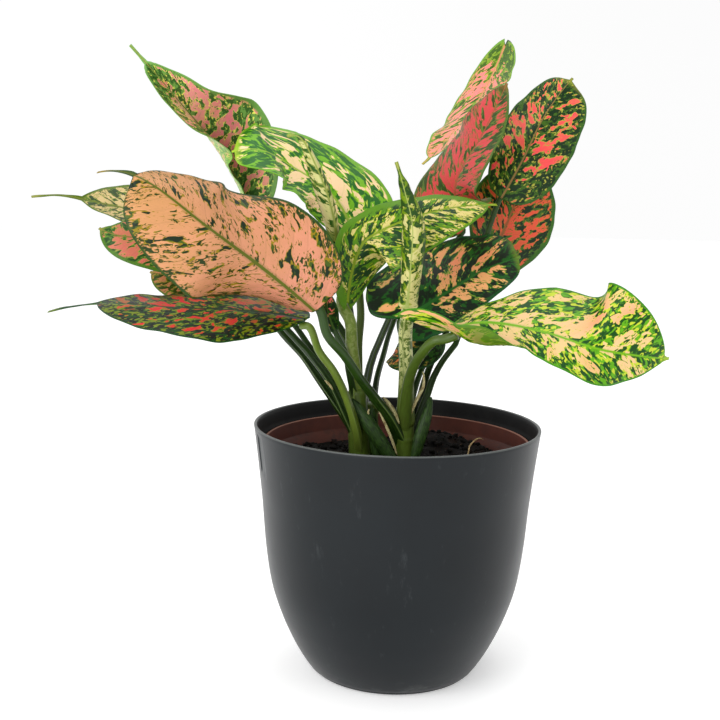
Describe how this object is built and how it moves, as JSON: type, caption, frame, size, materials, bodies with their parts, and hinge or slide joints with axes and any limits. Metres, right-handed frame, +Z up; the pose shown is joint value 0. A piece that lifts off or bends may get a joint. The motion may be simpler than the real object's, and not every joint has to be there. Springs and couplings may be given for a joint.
{
  "type": "potted red chinese evergreen",
  "caption": "Potted Chinese evergreen with broad pink, coral and cream leaves edged in dark green, in a brown nursery pot inside a dark grey tapered cover pot.",
  "frame": {"origin": "middle of the cover pot's flat base, where the pot stands", "axes": "+Z up along the pots' axis, -Y towards the front of the plant as pictured, +X to its right"},
  "size_m": [0.2994, 0.1622, 0.316],
  "materials": {
    "cover_plastic": "satin",
    "nursery_plastic": "matte",
    "potting_soil": "matte",
    "petiole_green": "satin",
    "leaf_salmon": "satin",
    "leaf_coral": "satin",
    "leaf_red": "satin",
    "leaf_pink": "satin",
    "leaf_cream": "satin",
    "leaf_lime": "satin",
    "leaf_dark": "satin",
    "leaf_marbled": "satin"
  },
  "bodies": {
    "root": {"cover_pot": "cover_plastic", "nursery_pot": "nursery_plastic", "soil": "potting_soil", "shoot_left": "petiole_green", "shoot_back": "petiole_green", "shoot_right": "petiole_green", "leaf_upper_left": "leaf_coral", "leaf_front_salmon": "leaf_salmon", "leaf_left_slender": "leaf_cream", "leaf_left_coral": "leaf_coral", "leaf_left_inner": "leaf_pink", "leaf_lower_left": "leaf_red", "leaf_small_left": "leaf_red", "leaf_centre_broad": "leaf_lime", "leaf_centre_front": "leaf_lime", "leaf_centre_dark": "leaf_dark", "leaf_top_right": "leaf_pink", "leaf_upper_inner": "leaf_pink", "leaf_upper_right": "leaf_red", "leaf_right_behind": "leaf_coral", "leaf_lower_right": "leaf_cream", "leaf_small_drooping": "leaf_dark", "leaf_spike": "leaf_marbled", "leaf_young_hooked": "leaf_marbled"}
  },
  "joints": []
}
